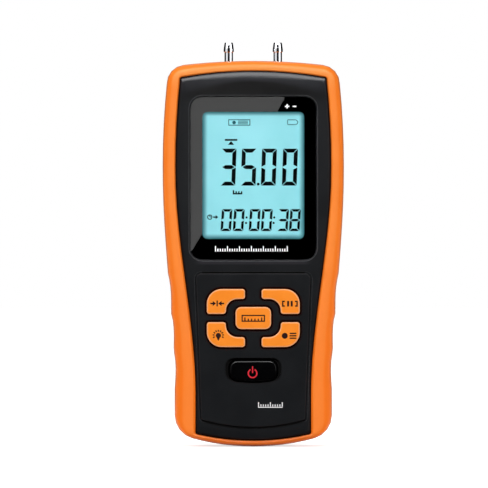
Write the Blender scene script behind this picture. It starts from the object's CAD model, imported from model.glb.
"""A handheld digital manometer: finishes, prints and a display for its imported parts, in a plain studio."""

import math

import bmesh
import bpy
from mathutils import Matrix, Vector


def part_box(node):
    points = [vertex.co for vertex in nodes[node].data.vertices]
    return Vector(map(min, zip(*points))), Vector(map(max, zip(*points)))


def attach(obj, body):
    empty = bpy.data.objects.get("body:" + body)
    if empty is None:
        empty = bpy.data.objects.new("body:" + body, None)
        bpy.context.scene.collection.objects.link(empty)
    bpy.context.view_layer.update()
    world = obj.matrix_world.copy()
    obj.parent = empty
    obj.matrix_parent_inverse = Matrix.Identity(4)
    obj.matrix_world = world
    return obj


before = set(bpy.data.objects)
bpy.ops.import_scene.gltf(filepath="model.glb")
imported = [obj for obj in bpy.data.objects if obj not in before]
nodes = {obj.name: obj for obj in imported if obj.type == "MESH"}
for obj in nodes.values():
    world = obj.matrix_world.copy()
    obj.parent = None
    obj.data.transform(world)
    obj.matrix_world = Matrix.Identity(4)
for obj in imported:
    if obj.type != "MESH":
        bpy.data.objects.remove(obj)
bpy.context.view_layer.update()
scene = bpy.context.scene
MM = 0.001


# The studio
# A pale floor and a white surround, two large soft lamps with a third overhead, and the camera square to
# the front of the meter, with a long lens as for a catalogue picture.

photo_px = 488
mm_per_px = 0.418
middle_column_px = 253.3
foot_row_px = 447
lens_mm = 500
sensor_mm = 36

face_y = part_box("front_shell")[0].y
view_distance = photo_px * mm_per_px * MM * lens_mm / sensor_mm
camera_at = Vector(((photo_px / 2 - middle_column_px) * mm_per_px * MM, face_y - view_distance,
                    (foot_row_px - photo_px / 2) * mm_per_px * MM))
camera = bpy.data.objects.new("camera", bpy.data.cameras.new("camera"))
camera.data.lens = lens_mm
camera.data.sensor_width = sensor_mm
camera.data.clip_end = 20
camera.location = camera_at
camera.rotation_euler = (math.radians(90), 0, 0)
scene.collection.objects.link(camera)
scene.camera = camera
scene.view_settings.view_transform = "Standard"


def add(tree, kind, sockets=None, **settings):
    """Adds a node. Its sockets are given as plain values, or as the outputs that feed them."""
    made = tree.nodes.new(kind)
    for name, value in settings.items():
        setattr(made, name, value)
    for key, value in (sockets or {}).items():
        if isinstance(value, bpy.types.NodeSocket):
            tree.links.new(value, made.inputs[key])
        else:
            made.inputs[key].default_value = value
    return made


def maths(tree, operation, a, b=0.0):
    return add(tree, "ShaderNodeMath", {0: a, 1: b}, operation=operation).outputs[0]


def seen_directly(tree):
    """One where the camera, a reflection or a look through glass meets the surface."""
    path = add(tree, "ShaderNodeLightPath")
    straight = maths(tree, "MAXIMUM", path.outputs["Is Camera Ray"], path.outputs["Is Glossy Ray"])
    return maths(tree, "MAXIMUM", straight, path.outputs["Is Transmission Ray"])


def surround():
    """White where it is seen, and a soft fill where it only lights."""
    fill = 0.55
    world = bpy.data.worlds.new("surround")
    world.use_nodes = True
    tree = world.node_tree
    strength = maths(tree, "MAXIMUM", seen_directly(tree), fill)
    background = tree.nodes["Background"]
    background.inputs["Color"].default_value = (1, 1, 1, 1)
    tree.links.new(strength, background.inputs["Strength"])
    scene.world = world


def card(name, corners, material):
    """A flat sheet that stands in the studio. It belongs to the stage, not to the meter."""
    mesh = bpy.data.meshes.new(name)
    mesh.from_pydata(corners, [], [range(len(corners))])
    mesh.materials.append(material)
    made = bpy.data.objects.new(name, mesh)
    scene.collection.objects.link(made)
    return made


def for_reflections_only(made, behind_glass=True):
    """Hides a card from all but mirrored rays, and those that a pane has bent on their way."""
    made.visible_camera = False
    made.visible_diffuse = False
    made.visible_transmission = behind_glass
    made.visible_shadow = False


def floor_paint():
    """Pale paint, lifted to white where it is seen, so that only the meter's shadow shows on it."""
    lift = 0.68
    material = bpy.data.materials.new("floor_paint")
    material.use_nodes = True
    tree = material.node_tree
    paint = tree.nodes["Principled BSDF"]
    paint.inputs["Base Color"].default_value = (0.82, 0.82, 0.82, 1)
    paint.inputs["Roughness"].default_value = 0.9
    paint.inputs["Specular IOR Level"].default_value = 0
    paint.inputs["Emission Color"].default_value = (1, 1, 1, 1)
    tree.links.new(maths(tree, "MULTIPLY", seen_directly(tree), lift), paint.inputs["Emission Strength"])
    return material


def card_paint(name, strength):
    material = bpy.data.materials.new(name)
    material.use_nodes = True
    tree = material.node_tree
    tree.nodes.remove(tree.nodes["Principled BSDF"])
    light = add(tree, "ShaderNodeEmission", {"Color": (1, 1, 1, 1), "Strength": strength})
    tree.links.new(light.outputs[0], tree.nodes["Material Output"].inputs["Surface"])
    return material


def upright_card(name, start, end, height, material):
    """A card that stands on the floor, on edge between two points of the floor plan."""
    return card(name, [(*start, 0), (*end, 0), (*end, height), (*start, height)], material)


def sloped_card(name, half_w, near, far, material):
    """A card that lies across the view. Its near and far edges are each given by depth and height."""
    return card(name, [(-half_w, *near), (half_w, *near), (half_w, *far), (-half_w, *far)], material)


def lamp(name, place, width, height, power):
    """A soft box that faces the middle of the meter, with its sides in metres and its power in watts."""
    meter_middle = Vector((0, 0, 0.09))
    data = bpy.data.lights.new(name, "AREA")
    data.shape = "RECTANGLE"
    data.size = width
    data.size_y = height
    data.energy = power
    made = bpy.data.objects.new(name, data)
    made.location = place
    made.rotation_euler = (meter_middle - Vector(place)).to_track_quat("-Z", "Y").to_euler()
    scene.collection.objects.link(made)


floor_half = 6
sloped_card("floor", floor_half, (-floor_half, 0), (floor_half, 0), floor_paint())
surround()
lamp("key_lamp", (-0.95, -0.8, 0.85), width=0.7, height=0.7, power=5.7)
lamp("fill_lamp", (1.0, -0.8, 0.4), width=0.6, height=0.8, power=3.5)
lamp("top_lamp", (0, -0.15, 1.1), width=0.9, height=0.5, power=4)

flag_paint = card_paint("black_flag", 0)
flag_y = -3.3
above_floor = 0.001
for_reflections_only(upright_card("front_flag", (-1.8, flag_y), (1.8, flag_y), 5.5, flag_paint))
for side in (-1, 1):
    for_reflections_only(upright_card("rear_flag", (side * 0.35, 1.55), (side * 1.7, -0.3), 2.2, flag_paint))
for_reflections_only(sloped_card("floor_flag", 1.2, (flag_y, above_floor), (-0.02, above_floor), flag_paint))
for_reflections_only(sloped_card("top_card", 0.4, (-0.85, 0.485), (-0.5, 0.72), card_paint("top_card", 22)))


# The rubber grips
# A soft orange thermoplastic, moulded on to the edge of each shell. It is satin, with a very fine grain,
# paler on the crest that hands polish, darker where it meets the case and along the foot, and tan where it
# curves out of sight.

def srgb(code):
    """A colour written as it looks, in the values that a shader takes."""
    parts = [int(code[i:i + 2], 16) / 255 for i in (1, 3, 5)]
    return (*[p / 12.92 if p <= 0.04045 else ((p + 0.055) / 1.055) ** 2.4 for p in parts], 1)


def finish(name, roughness=0.5, **settings):
    """A new material, with the constants of its shader set by name, and its node tree and shader."""
    material = bpy.data.materials.new(name)
    material.use_nodes = True
    shader = material.node_tree.nodes["Principled BSDF"]
    shader.inputs["Roughness"].default_value = roughness
    for key, value in settings.items():
        shader.inputs[key.replace("_", " ")].default_value = value
    return material, material.node_tree, shader


def feed(tree, shader, key, source):
    tree.links.new(source, shader.inputs[key])


def blend(tree, share, low, high):
    """A colour between two, by a mask."""
    return add(tree, "ShaderNodeMix", {0: share, 6: low, 7: high}, data_type="RGBA").outputs[2]


def ramp(tree, value, low, high, out_low=0.0, out_high=1.0):
    """A value stretched from one span to another, with soft ends."""
    return add(tree, "ShaderNodeMapRange", {"Value": value, "From Min": low, "From Max": high,
               "To Min": out_low, "To Max": out_high}, interpolation_type="SMOOTHSTEP").outputs[0]


def times(tree, first, *others):
    """Masks multiplied one by one, so that the result shows only where all of them do."""
    for other in others:
        first = maths(tree, "MULTIPLY", first, other)
    return first


def local_place(tree):
    """The place on the piece itself, as across, depth and height."""
    place = add(tree, "ShaderNodeTexCoord").outputs["Object"]
    return add(tree, "ShaderNodeSeparateXYZ", {0: place}).outputs


def new_group(name, inputs, outputs):
    """An empty shader group with float inputs and outputs, and its two ends."""
    tree = bpy.data.node_groups.new(name, "ShaderNodeTree")
    for label, value in inputs.items():
        tree.interface.new_socket(label, in_out="INPUT", socket_type="NodeSocketFloat").default_value = value
    for label in outputs:
        tree.interface.new_socket(label, in_out="OUTPUT", socket_type="NodeSocketFloat")
    return tree, tree.nodes.new("NodeGroupInput").outputs, tree.nodes.new("NodeGroupOutput").inputs


def moulded_grain():
    """Fine spark grain of a mould, and the slow clouding of the plastic."""
    tree, given, put = new_group("Moulded grain", {"Grain mm": 0.3, "Cloud mm": 12.0}, ["Height", "Cloud"])
    place = add(tree, "ShaderNodeTexCoord").outputs["Object"]
    for size, detail, out in (("Grain mm", 3.0, "Height"), ("Cloud mm", 2.0, "Cloud")):
        scale = maths(tree, "DIVIDE", 1 / MM, given[size])
        noise = add(tree, "ShaderNodeTexNoise", {"Vector": place, "Scale": scale, "Detail": detail})
        tree.links.new(noise.outputs[0], put[out])
    return tree


def edges_and_hollows():
    """Masks of the sharp edges, where the light catches, and of the hollows that it doesn't reach."""
    tree, given, put = new_group("Edges and hollows", {"Edge mm": 0.25, "Hollow mm": 2.0},
                                 ["Edge", "Hollow"])
    even, sharp = 0.998, 0.9
    edge_w = maths(tree, "MULTIPLY", given["Edge mm"], MM)
    bevel = add(tree, "ShaderNodeBevel", {"Radius": edge_w}, samples=6)
    normal = add(tree, "ShaderNodeNewGeometry").outputs["Normal"]
    aligned = add(tree, "ShaderNodeVectorMath", {0: bevel.outputs[0], 1: normal}, operation="DOT_PRODUCT")
    tree.links.new(ramp(tree, aligned.outputs["Value"], even, sharp), put["Edge"])
    hollow_w = maths(tree, "MULTIPLY", given["Hollow mm"], MM)
    hollow = add(tree, "ShaderNodeAmbientOcclusion", {"Distance": hollow_w}, samples=8)
    tree.links.new(maths(tree, "SUBTRACT", 1.0, hollow.outputs["AO"]), put["Hollow"])
    return tree


GRAIN = moulded_grain()
EDGES = edges_and_hollows()


def use_group(tree, group, **values):
    """Places a shader group, with its inputs by name."""
    made = add(tree, "ShaderNodeGroup", node_tree=group)
    for key, value in values.items():
        made.inputs[key.replace("_", " ")].default_value = value
    return made.outputs


def grained(tree, shader, grain_mm, cloud_mm, depth_mm, rough):
    """Gives a shader its grain and a roughness that clouds a little. Returns the cloud mask."""
    relief = 0.6
    grain = use_group(tree, GRAIN, Grain_mm=grain_mm, Cloud_mm=cloud_mm)
    bump = add(tree, "ShaderNodeBump", {"Strength": relief, "Distance": depth_mm * MM,
                                        "Height": grain["Height"]})
    feed(tree, shader, "Normal", bump.outputs[0])
    feed(tree, shader, "Roughness", ramp(tree, grain["Cloud"], 0.35, 0.65, *rough))
    return grain["Cloud"]


def clouded(tree, cloud, low, high):
    """Two close colours that pass into each other where the cloud mask does."""
    return blend(tree, ramp(tree, cloud, 0.3, 0.7), srgb(low), srgb(high))


def wear(material, *pieces):
    """Puts a material on CAD pieces in place of the one that they came with."""
    for piece in pieces:
        nodes[piece].data.materials.clear()
        nodes[piece].data.materials.append(material)


def grip_rubber():
    material, tree, shader = finish("grip_rubber", Specular_IOR_Level=0.08)
    cloud = grained(tree, shader, grain_mm=0.22, cloud_mm=9, depth_mm=0.03, rough=(0.42, 0.52))
    masks = use_group(tree, EDGES, Hollow_mm=1.5)
    place = local_place(tree)
    upper = ramp(tree, place["Z"], 25 * MM, 110 * MM)
    body = blend(tree, upper, srgb("#ff7b1b"), clouded(tree, cloud, "#fe7f20", "#ff8324"))
    crest = ramp(tree, maths(tree, "ABSOLUTE", place["Y"]), 17.2 * MM, 18 * MM)
    polish = ramp(tree, place["Z"], 148 * MM, 158 * MM, 0.2, 0.6)
    polished = blend(tree, times(tree, crest, polish), body, srgb("#ffab5c"))
    foot = ramp(tree, place["Z"], 7 * MM, 3 * MM, 0, 0.7)
    soiled = blend(tree, foot, polished, srgb("#cf5f16"))
    shaded = blend(tree, times(tree, masks["Hollow"], 0.8), soiled, srgb("#6c2205"))
    facing = add(tree, "ShaderNodeLayerWeight", {"Blend": 0.5}).outputs["Facing"]
    turned_away = ramp(tree, facing, 0.7, 0.95, 0, 0.8)
    feed(tree, shader, "Base Color", blend(tree, turned_away, shaded, srgb("#b86c38")))
    return material


def smoothed():
    """Joins the corners that the mesh shares and shades it smooth, but for its sharp edges."""
    sharp_angle = math.radians(38)
    same_place = 0.001 * MM
    tree = bpy.data.node_groups.new("Smooth shading", "GeometryNodeTree")
    for way in ("INPUT", "OUTPUT"):
        tree.interface.new_socket("Geometry", in_out=way, socket_type="NodeSocketGeometry")
    mesh = add(tree, "NodeGroupInput").outputs[0]
    joined = add(tree, "GeometryNodeMergeByDistance", {"Geometry": mesh, "Distance": same_place})
    smooth = add(tree, "GeometryNodeSetShadeSmooth", {"Geometry": joined.outputs[0], "Shade Smooth": True})
    angle = add(tree, "GeometryNodeInputMeshEdgeAngle").outputs["Unsigned Angle"]
    is_sharp = add(tree, "FunctionNodeCompare", {0: angle, 1: sharp_angle}, operation="GREATER_THAN")
    edged = add(tree, "GeometryNodeSetShadeSmooth", {"Geometry": smooth.outputs[0],
                "Selection": is_sharp.outputs[0], "Shade Smooth": False}, domain="EDGE")
    add(tree, "NodeGroupOutput", {0: edged.outputs[0]})
    return tree


SMOOTH = smoothed()
for piece in nodes.values():
    normals = piece.data.attributes.get("custom_normal")
    if normals:
        piece.data.attributes.remove(normals)
    piece.modifiers.new("smooth_shading", "NODES").node_group = SMOOTH
    flat = piece.modifiers.new("flat_faces_stay_flat", "WEIGHTED_NORMAL")
    flat.keep_sharp = True
    flat.weight = 100
wear(grip_rubber(), "front_grip", "rear_grip")


# The case shells and the battery cover
# Black ABS with the fine matt grain of an eroded mould. It is blacker in its grooves and holes, paler along
# its head, on the worn strip under the window and on the edges of the pocket, and takes a tint of the orange
# beside it.

def case_plastic():
    material, tree, shader = finish("case_plastic", Specular_IOR_Level=0.16)
    cloud = grained(tree, shader, grain_mm=0.16, cloud_mm=14, depth_mm=0.02, rough=(0.29, 0.31))
    masks = use_group(tree, EDGES, Edge_mm=0.3, Hollow_mm=1.8)
    place = local_place(tree)
    depth = place["Y"]
    height = place["Z"]
    aside = maths(tree, "ABSOLUTE", place["X"])
    in_front = maths(tree, "LESS_THAN", depth, 0.8 * face_y)
    below_window = maths(tree, "LESS_THAN", height, 76 * MM)
    body = clouded(tree, cloud, "#131518", "#15171a")
    above_window = times(tree, ramp(tree, height, 143 * MM, 149 * MM), in_front)
    darker = blend(tree, above_window, body, srgb("#040405"))

    # The paler head, whose lower line drops and softens towards the sides
    bow = times(tree, place["X"], place["X"])
    head_low = maths(tree, "SUBTRACT", 152.3 * MM, times(tree, bow, 9.5))
    head_high = maths(tree, "SUBTRACT", 153.9 * MM, times(tree, bow, 2.0))
    head = times(tree, ramp(tree, height, head_low, head_high), in_front)
    headed = blend(tree, head, darker, srgb("#1c1d22"))

    # The worn strip, the tint beside the grip, and the edges that catch the light
    strip_h = times(tree, ramp(tree, height, 75.9 * MM, 76.9 * MM), ramp(tree, height, 80 * MM, 79 * MM))
    strip_w = times(tree, in_front, ramp(tree, aside, 25 * MM, 21 * MM))
    worn = blend(tree, times(tree, strip_h, strip_w), headed, srgb("#252529"))
    level = ramp(tree, depth, face_y + 0.04 * MM, face_y + 0.01 * MM)
    beside = times(tree, ramp(tree, masks["Hollow"], 0.1, 0.4), level)
    tinted = blend(tree, beside, worn, srgb("#661a09"))
    catch = ramp(tree, below_window, 0, 1, 1, 0.15)
    caught = blend(tree, times(tree, masks["Edge"], catch), tinted, srgb("#86878a"))

    # The holes past the pocket's bevel, the groove round the keys, and the rims of their holes
    past_bevel = ramp(tree, depth, face_y + 0.55 * MM, face_y + 0.75 * MM)
    hollow = times(tree, ramp(tree, masks["Hollow"], 0.3, 0.7), past_bevel)
    shaded = blend(tree, hollow, caught, srgb("#030202"))
    sunk = ramp(tree, depth, face_y + 0.12 * MM, face_y + 0.32 * MM)
    across = maths(tree, "LESS_THAN", aside, 21.5 * MM)
    recess = times(tree, sunk, in_front, across, below_window)
    key_w = maths(tree, "LESS_THAN", aside, 20.4 * MM)
    key_h = maths(tree, "LESS_THAN", height, 67.5 * MM)
    wide_edge = use_group(tree, EDGES, Edge_mm=0.6)["Edge"]
    rim = times(tree, wide_edge, key_w, key_h, in_front)
    blackened = blend(tree, maths(tree, "MAXIMUM", recess, rim), shaded, srgb("#020101"))
    by_orange = times(tree, rim, maths(tree, "GREATER_THAN", height, 39 * MM))
    feed(tree, shader, "Base Color", blend(tree, by_orange, blackened, srgb("#260703")))
    return material


wear(case_plastic(), "front_shell", "rear_shell", "battery_cover")


# The display window and its mask
# A clear acrylic pane, let into a pocket of the front shell. Its rear face is printed black round the
# clear field, with a white pressure scale and the signs of the two ports.

def window_acrylic():
    material, tree, shader = finish("window_acrylic", 0.0, Transmission_Weight=1.0, IOR=1.49)
    cloud = use_group(tree, GRAIN, Cloud_mm=20.0)["Cloud"]
    feed(tree, shader, "Base Color", clouded(tree, cloud, "#f7fbfb", "#ffffff"))
    return material


def mask_ink():
    material, tree, shader = finish("mask_ink", Specular_IOR_Level=0.3)
    cloud = grained(tree, shader, grain_mm=0.1, cloud_mm=8, depth_mm=0.005, rough=(0.4, 0.5))
    feed(tree, shader, "Base Color", blend(tree, cloud, srgb("#030304"), srgb("#08080a")))
    return material


def white_ink(name, glow):
    material, tree, shader = finish(name, Specular_IOR_Level=0.3, Emission_Strength=glow)
    cloud = grained(tree, shader, grain_mm=0.08, cloud_mm=2, depth_mm=0.005, rough=(0.5, 0.6))
    colour = blend(tree, cloud, srgb("#dfe0e2"), srgb("#f4f4f5"))
    feed(tree, shader, "Base Color", colour)
    feed(tree, shader, "Emission Color", colour)
    return material


def bar(x0, z0, x1, z1, width):
    """A stroke from one point to another, as a four-sided outline. All outlines are in millimetres."""
    along = Vector((x1 - x0, z1 - z0)).normalized() * width / 2
    return [(x0 - along.y, z0 + along.x), (x0 + along.y, z0 - along.x),
            (x1 + along.y, z1 - along.x), (x1 - along.y, z1 + along.x)]


def disc(x, z, radius):
    steps = 20
    turn = math.tau / steps
    return [(x + radius * math.cos(turn * k), z + radius * math.sin(turn * k)) for k in range(steps)]


def arc(x, z, radius, width, start, end, steps=20):
    """A curved stroke as a chain of four-sided outlines, from one angle to another in degrees."""
    angles = [math.radians(start + (end - start) * k / steps) for k in range(steps + 1)]
    inner = [(x + (radius - width) * math.cos(a), z + (radius - width) * math.sin(a)) for a in angles]
    outer = [(x + radius * math.cos(a), z + radius * math.sin(a)) for a in angles]
    return [[inner[k], outer[k], outer[k + 1], inner[k + 1]] for k in range(steps)]


def box_outline(x0, z0, x1, z1, width):
    """A rectangle's border, as four strokes that meet end to end."""
    half = width / 2
    return [bar(x0, z0 + half, x1, z0 + half, width), bar(x0, z1 - half, x1, z1 - half, width),
            bar(x0 + half, z0 + width, x0 + half, z1 - width, width),
            bar(x1 - half, z0 + width, x1 - half, z1 - width, width)]


def inlay(name, outlines, front_y, depth, material, body):
    """Flat outlines as closed plates: printed ink, or the figures of a display."""
    mesh = bmesh.new()
    for outline in outlines:
        area = sum(a[0] * b[1] - b[0] * a[1] for a, b in zip(outline, outline[1:] + outline[:1]))
        points = outline if area > 0 else outline[::-1]
        front = [mesh.verts.new((x * MM, front_y, z * MM)) for x, z in points]
        back = [mesh.verts.new((x * MM, front_y + depth * MM, z * MM)) for x, z in points]
        mesh.faces.new(front)
        mesh.faces.new(back[::-1])
        for k in range(len(points)):
            j = (k + 1) % len(points)
            mesh.faces.new((front[k], back[k], back[j], front[j]))
    bmesh.ops.recalc_face_normals(mesh, faces=mesh.faces)
    data = bpy.data.meshes.new(name)
    mesh.to_mesh(data)
    mesh.free()
    data.materials.append(material)
    made = bpy.data.objects.new(name, data)
    scene.collection.objects.link(made)
    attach(made, body)


def scale_marks(x0, x1, base, short, long, width, count):
    """A row of upright ticks, every fifth one long."""
    step = (x1 - x0) / (count - 1)
    return [bar(x0 + step * k, base, x0 + step * k, base + (short if k % 5 else long), width)
            for k in range(count)]


wear(window_acrylic(), "display_window")
wear(mask_ink(), "window_mask")
field_half_w = 21.3 * MM
field_foot = 87.0 * MM
field_head = 140.1 * MM
print_t = 0.02
mask_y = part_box("window_mask")[0].y - 2 * print_t * MM
glass_ink = white_ink("white_ink_behind_glass", 0.6)
scale_half = 15
scale_middle = -0.8
scale_z = 81.7
scale = scale_marks(scale_middle - scale_half, scale_middle + scale_half, scale_z,
                    short=1.2, long=2.3, width=0.4, count=31)
inlay("window_scale", scale, mask_y, print_t, glass_ink, "housing")
sign_x = 15.6
sign_z = 142.4
sign_half = 0.95
stroke_w = 0.5
plus_x = sign_x - 1.45
plus = [bar(sign_x - 2.4, sign_z, sign_x - 0.5, sign_z, stroke_w),
        bar(plus_x, sign_z - sign_half, plus_x, sign_z - stroke_w / 2, stroke_w),
        bar(plus_x, sign_z + stroke_w / 2, plus_x, sign_z + sign_half, stroke_w)]
minus = bar(sign_x + 0.8, sign_z, sign_x + 2.4, sign_z, stroke_w)
inlay("window_port_signs", [*plus, minus], mask_y, print_t, glass_ink, "housing")


def window_sheen():
    """A white card near the window, seen only as the bright corner that the pane mirrors."""
    pane_low, pane_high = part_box("display_window")
    away = 0.1
    field_r = 2.2 * MM
    left, right = pane_low.x, 13.0 * MM
    top, bottom = pane_high.z, 81.0 * MM
    slant_w = 2.9 * MM
    slant_h = 2.9 * slant_w
    angles = [math.radians(180 - 15 * k) for k in range(7)]
    corner = [(-field_half_w + field_r * (1 + math.cos(a)), field_head - field_r * (1 - math.sin(a)))
              for a in angles]
    corners = [(left, bottom), (-field_half_w, bottom + slant_h), *corner,
               (right - slant_w, field_head), (right + 0.3 * MM, top), (left, top)]
    reach = 1 + away / view_distance
    points = [(camera_at.x + (x - camera_at.x) * reach, pane_low.y - away,
               camera_at.z + (z - camera_at.z) * reach) for x, z in corners]
    for_reflections_only(card("sheen_card", points, card_paint("sheen_card", 1.8)), behind_glass=False)


window_sheen()


# The display
# A backlit liquid crystal cell in its frame. Its figures are plain seven-segment numerals, with small
# signs of its own round them. It shades off where the mask's edge stands over it.

def display_cell():
    material, tree, shader = finish("display_cell", 0.25, Emission_Strength=0.85, Specular_IOR_Level=0.1)
    cloud = use_group(tree, GRAIN, Cloud_mm=25.0)["Cloud"]
    place = local_place(tree)
    shade_w = 2.5 * MM
    head_shade_w = 2.0 * MM
    unlit_share = 0.8
    inside = maths(tree, "SUBTRACT", field_half_w, maths(tree, "ABSOLUTE", place["X"]))
    over_foot = ramp(tree, place["Z"], field_foot, field_foot + shade_w)
    under_head = ramp(tree, place["Z"], field_head, field_head - head_shade_w)
    clear = times(tree, over_foot, under_head, ramp(tree, inside, 0, shade_w))
    shown = blend(tree, clear, srgb("#3f7d86"), clouded(tree, cloud, "#90dce5", "#99e0e9"))
    feed(tree, shader, "Emission Color", shown)
    feed(tree, shader, "Base Color", blend(tree, unlit_share, shown, srgb("#000000")))
    return material


def figure_ink(name, colour):
    material, tree, shader = finish(name, 0.3, Specular_IOR_Level=0.05)
    cloud = grained(tree, shader, grain_mm=0.1, cloud_mm=3, depth_mm=0.002, rough=(0.28, 0.34))
    feed(tree, shader, "Base Color", blend(tree, cloud, srgb("#020506"), srgb(colour)))
    return material


SEGMENTS = {"0": "abcdef", "3": "abcdg", "5": "acdfg", "8": "abcdefg"}


def numeral(sign, x, z, width, height, stroke, gap, lean):
    """The lit segments of a seven-segment figure with mitred ends, from its lower left corner."""
    half, mid = stroke / 2, height / 2
    tip = 0.3 * stroke
    shapes = {
        "a": [(gap, height), (width - gap, height), (width - stroke - gap, height - stroke),
              (stroke + gap, height - stroke)],
        "g": [(tip, mid), (stroke + gap, mid + half), (width - stroke - gap, mid + half), (width - tip, mid),
              (width - stroke - gap, mid - half), (stroke + gap, mid - half)],
        "f": [(0, height - gap), (stroke, height - stroke - gap), (stroke, mid + half + gap),
              (0, mid + gap)],
    }
    shapes["d"] = [(a, height - b) for a, b in shapes["a"]]
    shapes["e"] = [(a, height - b) for a, b in shapes["f"]]
    shapes["b"] = [(width - a, b) for a, b in shapes["f"]]
    shapes["c"] = [(width - a, height - b) for a, b in shapes["f"]]
    slope = math.tan(math.radians(lean))
    return [[(x + a + b * slope, z + b) for a, b in shapes[s]] for s in SEGMENTS[sign]]


def show(name, outlines, ink):
    """Puts figures or signs on the display."""
    inlay(name, outlines, figure_y, figure_t, ink, "housing")


wear(display_cell(), "lcd_glass")
figure_t = 0.03
figure_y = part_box("lcd_glass")[0].y - figure_t * MM
figure_black = figure_ink("figure_black", "#0a0f10")
figure_grey = figure_ink("figure_grey", "#2f6a72")

reading_z = 109.3
reading_places = [(-13.75, "3"), (-5.27, "5"), (3.14, "0"), (11.95, "0")]
reading = [part for x, sign in reading_places
           for part in numeral(sign, x, reading_z, width=6.2, height=15.45, stroke=1.66, gap=0.16, lean=2)]
reading.append(disc(2.05, reading_z + 0.6, 0.6))
show("reading_figures", reading, figure_black)

clock_z = 90.25
clock_places = [(-13.75, "0"), (-8.61, "0"), (-1.96, "0"), (3.14, "0"), (9.95, "3"), (14.9, "8")]
clock = [part for x, sign in clock_places
         for part in numeral(sign, x, clock_z, width=4.4, height=9.2, stroke=1.06, gap=0.18, lean=4)]
for x in (-3.05, 8.5):
    clock += [disc(x, clock_z + 3.4, 0.45), disc(x + 0.25, clock_z + 5.7, 0.45)]
show("clock_figures", clock, figure_black)


def peak_sign(x, z):
    """A rising arrow under a bar, for the highest reading."""
    head = [(x - 1.3, z - 0.1), (x + 1.3, z - 0.1), (x, z + 1.5)]
    return [bar(x - 2.6, z + 1.95, x + 2.6, z + 1.95, 0.75), head]


def clock_sign(x, z):
    """A dial with two hands, and an arrow that points from it to the hours."""
    hands = [bar(x, z, x, z + 0.62, 0.36), bar(x + 0.18, z, x + 0.6, z, 0.36)]
    head = [(x + 2.45, z - 0.85), (x + 3.55, z), (x + 2.45, z + 0.85)]
    return arc(x, z, 1.1, 0.4, 0, 360) + hands + [bar(x + 1.4, z, x + 2.45, z, 0.6), head]


def log_sign(x, z):
    """A box that holds a dot and the lines of a stored record."""
    lines = [bar(x - 0.6, z + h, x + 3.6, z + h, 0.3) for h in (-0.57, 0, 0.57)]
    return box_outline(x - 4.6, z - 1.3, x + 4.6, z + 1.3, 0.34) + [disc(x - 2.2, z, 0.75)] + lines


def battery_sign(x, z):
    """An empty battery with its terminal to the right."""
    rim = 0.3
    return [bar(x - 2.1, z - 1.0, x + 1.3, z - 1.0, rim), bar(x - 2.1, z + 1.0, x + 1.3, z + 1.0, rim),
            bar(x - 2.1, z - 0.88, x - 2.1, z + 0.88, rim), bar(x + 1.42, z - 1.0, x + 2.1, z - 0.35, rim),
            bar(x + 1.42, z + 1.0, x + 2.1, z + 0.35, rim), bar(x + 2.1, z - 0.3, x + 2.1, z + 0.3, rim)]


show("peak_sign", peak_sign(-9.3, 126.45), figure_black)
show("clock_sign", clock_sign(-18.2, 96.1), figure_black)
unit_marks = scale_marks(-8.3, -4.9, 106.2, short=0.7, long=1.2, width=0.6, count=4)
show("unit_sign", [bar(-8.6, 105.9, -4.6, 105.9, 0.6), *unit_marks], figure_black)
show("log_sign", log_sign(-5.85, 135.7), figure_grey)
show("battery_sign", battery_sign(16.5, 135.8), figure_grey)


# The keys
# Five keys of orange silicone-coated plastic with a pale rounded edge, printed in dark red with the sign
# of what each does, and a gloss black power key with its red sign.

def key_orange():
    material, tree, shader = finish("key_orange", Specular_IOR_Level=0.05)
    cloud = grained(tree, shader, grain_mm=0.14, cloud_mm=5, depth_mm=0.008, rough=(0.36, 0.44))
    top_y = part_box("dif_key")[0].y
    body = clouded(tree, cloud, "#fa8c26", "#fd902a")
    depth = local_place(tree)["Y"]
    rim = ramp(tree, depth, top_y + 0.005 * MM, top_y + 0.1 * MM)
    wall = ramp(tree, depth, top_y + 0.55 * MM, top_y + 0.9 * MM)
    edged = blend(tree, times(tree, rim, 0.75), body, srgb("#ffbd8a"))
    feed(tree, shader, "Base Color", blend(tree, wall, edged, srgb("#360600")))
    return material


def key_black():
    material, tree, shader = finish("key_black", Specular_IOR_Level=0.12)
    grained(tree, shader, grain_mm=0.14, cloud_mm=5, depth_mm=0.001, rough=(0.16, 0.2))
    edge = use_group(tree, EDGES, Edge_mm=0.35)["Edge"]
    feed(tree, shader, "Base Color", blend(tree, edge, srgb("#030304"), srgb("#2a2b2e")))
    return material


def key_ink(name, dark, light, glow):
    material, tree, shader = finish(name, Emission_Strength=glow, Specular_IOR_Level=0.1)
    cloud = grained(tree, shader, grain_mm=0.08, cloud_mm=1.5, depth_mm=0.004, rough=(0.4, 0.5))
    colour = blend(tree, cloud, srgb(dark), srgb(light))
    feed(tree, shader, "Base Color", colour)
    feed(tree, shader, "Emission Color", colour)
    return material


def arrow(x0, z0, x1, z1, width, head):
    """A stroke that ends in a triangle."""
    along = Vector((x1 - x0, z1 - z0)).normalized()
    across = Vector((-along.y, along.x))
    neck = Vector((x1, z1)) - along * head
    left, right = neck + across * head * 0.75, neck - across * head * 0.75
    return [bar(x0, z0, neck.x, neck.y, width), [tuple(left), tuple(right), (x1, z1)]]


def difference_sign(x, z):
    """Two arrows that meet at a bar: the difference of two pressures."""
    return (arrow(x - 2.9, z, x - 0.45, z, 0.62, 1.4) + arrow(x + 2.9, z, x + 0.45, z, 0.62, 1.4)
            + [bar(x, z - 1.2, x, z + 1.2, 0.55)])


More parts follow.
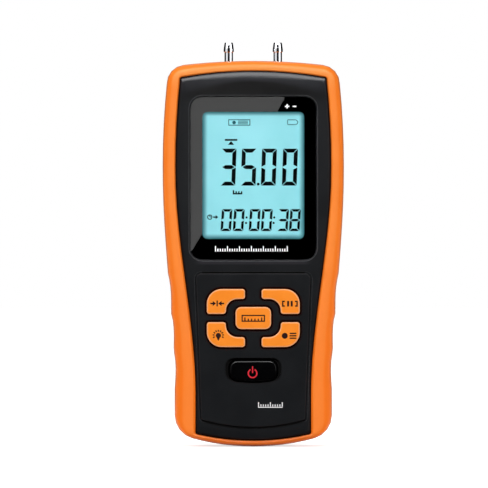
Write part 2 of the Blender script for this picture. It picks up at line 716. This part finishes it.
def hold_sign(x, z):
    """Two upright bars between brackets: the reading is held."""
    marks = [bar(x + s * 0.75, z - 1.15, x + s * 0.75, z + 1.15, 0.85) for s in (-1, 1)]
    for s in (-1, 1):
        marks += [bar(x + s * 3.0, z - 1.25, x + s * 3.0, z + 1.25, 0.58),
                  bar(x + s * 2.1, z - 0.97, x + s * 2.71, z - 0.97, 0.56),
                  bar(x + s * 2.1, z + 0.97, x + s * 2.71, z + 0.97, 0.56)]
    return marks


def ruler_sign(x, z):
    """A small ruler: the unit of the reading."""
    marks = scale_marks(x - 3.5, x + 3.5, z - 0.95, short=0.8, long=1.3, width=0.5, count=6)
    return box_outline(x - 4.9, z - 1.45, x + 4.9, z + 1.45, 0.5) + marks


def record_sign(x, z):
    """A dot and the lines of a list: the readings are stored."""
    return [disc(x - 1.75, z, 1.25)] + [bar(x + 0.3, z + h, x + 3.1, z + h, 0.56) for h in (-1, 0, 1)]


def bulb_sign(x, z):
    """A bulb with its rays: the display's light."""
    bulb = [disc(x, z, 1.1), [(x - 0.62, z - 0.85), (x - 0.32, z - 1.75), (x, z - 2.2),
                               (x + 0.32, z - 1.75), (x + 0.62, z - 0.85)]]
    rays = []
    for k in range(9):
        a = math.radians(-20 + 27.5 * k)
        rays.append(bar(x + 1.6 * math.cos(a), z + 1.6 * math.sin(a),
                        x + 2.4 * math.cos(a), z + 2.4 * math.sin(a), 0.5))
    return bulb + rays


def power_sign(x, z):
    """A ring that is open at the top, with a stroke through the gap."""
    return arc(x, z, 2.05, 0.55, 118, 422, 36) + [bar(x, z + 0.1, x, z + 2.9, 0.5)]


wear(key_orange(), "dif_key", "hold_key", "units_key", "light_key", "rec_key")
wear(key_black(), "power_key")
dark_red = key_ink("key_ink", "#1a0201", "#2a0602", 0)
power_red = key_ink("power_ink", "#b81424", "#d42a38", 0.25)
key_signs = [("dif", difference_sign(-15.1, 60.0)), ("hold", hold_sign(15.3, 59.9)),
             ("units", ruler_sign(0, 53.8)), ("light", bulb_sign(-14.6, 46.6)),
             ("rec", record_sign(14.9, 46.5))]
for key, outlines in key_signs:
    key_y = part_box(key + "_key")[0].y - print_t * MM
    inlay(key + "_sign", outlines, key_y, print_t, dark_red, key + "_button")
power_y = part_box("power_key")[0].y - print_t * MM
inlay("power_sign", power_sign(-0.3, 30.8), power_y, print_t, power_red, "power_button")

case_marks = scale_marks(2.2, 12.1, 16.9, short=0.9, long=1.8, width=0.4, count=11)
inlay("case_scale", [bar(2.0, 16.6, 12.3, 16.6, 0.34), *case_marks], face_y - print_t * MM, print_t,
      white_ink("white_ink", 0), "housing")


# The hose ports
# Two turned brass spigots with bright chrome plate, each held by a flange in ribs of both shells. The barb
# outside takes a hose, and a smaller one inside takes the sensor's tube.

def chrome():
    material, tree, shader = finish("chrome", Metallic=1.0)
    grained(tree, shader, grain_mm=0.4, cloud_mm=3, depth_mm=0.001, rough=(0.05, 0.09))
    hollow = use_group(tree, EDGES, Hollow_mm=1.0)["Hollow"]
    feed(tree, shader, "Base Color", blend(tree, hollow, srgb("#e4e6ea"), srgb("#8c8f94")))
    return material


wear(chrome(), "left_port", "right_port")


# The screws, springs and contacts
# Zinc-plated steel screws, nickel-plated spring wire and contact plates, and the knurled brass insert that
# takes the battery cover's coin screw.

def plated(name, low, high, rough):
    material, tree, shader = finish(name, Metallic=1.0)
    cloud = grained(tree, shader, grain_mm=0.25, cloud_mm=2.5, depth_mm=0.004, rough=(rough, rough + 0.1))
    feed(tree, shader, "Base Color", blend(tree, cloud, srgb(low), srgb(high)))
    return material


wear(plated("zinc_plate", "#a9adb2", "#cfd2d6", 0.25), "cover_screw", "case_screws", "board_screws")
wear(plated("nickel_plate", "#c3c6ca", "#e2e4e6", 0.16), "battery_springs", "battery_plates")
wear(plated("turned_brass", "#b98f3a", "#e0bd68", 0.25), "screw_insert")


# The cells
# Three small dry cells in printed sleeves, dark with a copper-coloured end and a pale ring beside it. The
# middle one is turned end for end.

def cell_sleeve():
    material, tree, shader = finish("cell_sleeve", Coat_Weight=0.3)
    low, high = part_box("battery_cells")
    grained(tree, shader, grain_mm=0.3, cloud_mm=6, depth_mm=0.004, rough=(0.22, 0.3))
    middle_cell_half = 5.45 * MM
    end_from = 0.7
    ring_at = 0.66
    ring_half = 0.012
    place = local_place(tree)
    share = ramp(tree, place["Z"], low.z, high.z)
    outer = maths(tree, "GREATER_THAN", maths(tree, "ABSOLUTE", place["X"]), middle_cell_half)
    up = add(tree, "ShaderNodeMix", {0: outer, 2: maths(tree, "SUBTRACT", 1.0, share), 3: share}).outputs[0]
    sleeve = blend(tree, maths(tree, "GREATER_THAN", up, end_from), srgb("#23262c"), srgb("#c98a3c"))
    off_ring = maths(tree, "ABSOLUTE", maths(tree, "SUBTRACT", up, ring_at))
    ring = maths(tree, "LESS_THAN", off_ring, ring_half)
    feed(tree, shader, "Base Color", blend(tree, ring, sleeve, srgb("#dcdde0")))
    return material


wear(cell_sleeve(), "battery_cells")


# The parts inside
# The board in green lacquer with its chips, the sensor with its tubes, the display's frame and light, and
# the grey rubber of the keypad mat and its domes.

def inner_plastic(name, low, high, rough, **settings):
    material, tree, shader = finish(name, **settings)
    cloud = grained(tree, shader, grain_mm=0.2, cloud_mm=6, depth_mm=0.01, rough=(rough, rough + 0.08))
    feed(tree, shader, "Base Color", blend(tree, cloud, srgb(low), srgb(high)))
    return material


def board_lacquer():
    """Green lacquer over copper tracks, drawn as the joints of a fine brick pattern."""
    material, tree, shader = finish("board_lacquer")
    cloud = grained(tree, shader, grain_mm=0.3, cloud_mm=9, depth_mm=0.006, rough=(0.25, 0.35))
    bricks_per_metre = 320.0
    track_w = 0.04
    place = add(tree, "ShaderNodeTexCoord").outputs["Object"]
    tracks = add(tree, "ShaderNodeTexBrick", {"Vector": place, "Scale": bricks_per_metre,
                 "Mortar Size": track_w, "Color1": (0, 0, 0, 1), "Color2": (0, 0, 0, 1),
                 "Mortar": (1, 1, 1, 1)})
    green = blend(tree, cloud, srgb("#175a33"), srgb("#1f6f40"))
    feed(tree, shader, "Base Color", blend(tree, tracks.outputs[0], green, srgb("#3f9a5f")))
    return material


wear(board_lacquer(), "main_board")
wear(inner_plastic("chip_resin", "#1c1c1e", "#2a2a2c", 0.5), "board_chips")
wear(inner_plastic("sensor_resin", "#ded9cc", "#ece8de", 0.4), "pressure_sensor")
wear(inner_plastic("tube_silicone", "#cfd4d4", "#e2e6e6", 0.3, Transmission_Weight=0.4), "sensor_tubes")
wear(inner_plastic("frame_plastic", "#333436", "#3d3e40", 0.45), "lcd_frame")
wear(inner_plastic("light_guide", "#cfeef0", "#e2f7f8", 0.3), "backlight_panel")
wear(inner_plastic("strip_rubber", "#8c6270", "#a3788a", 0.5), "zebra_strips")
wear(inner_plastic("keypad_rubber", "#45484c", "#54575b", 0.55), "keypad_mat")
wear(inner_plastic("dome_rubber", "#606366", "#74777a", 0.5),
     *[key + "_dome" for key in ("dif", "hold", "units", "light", "rec", "power")])
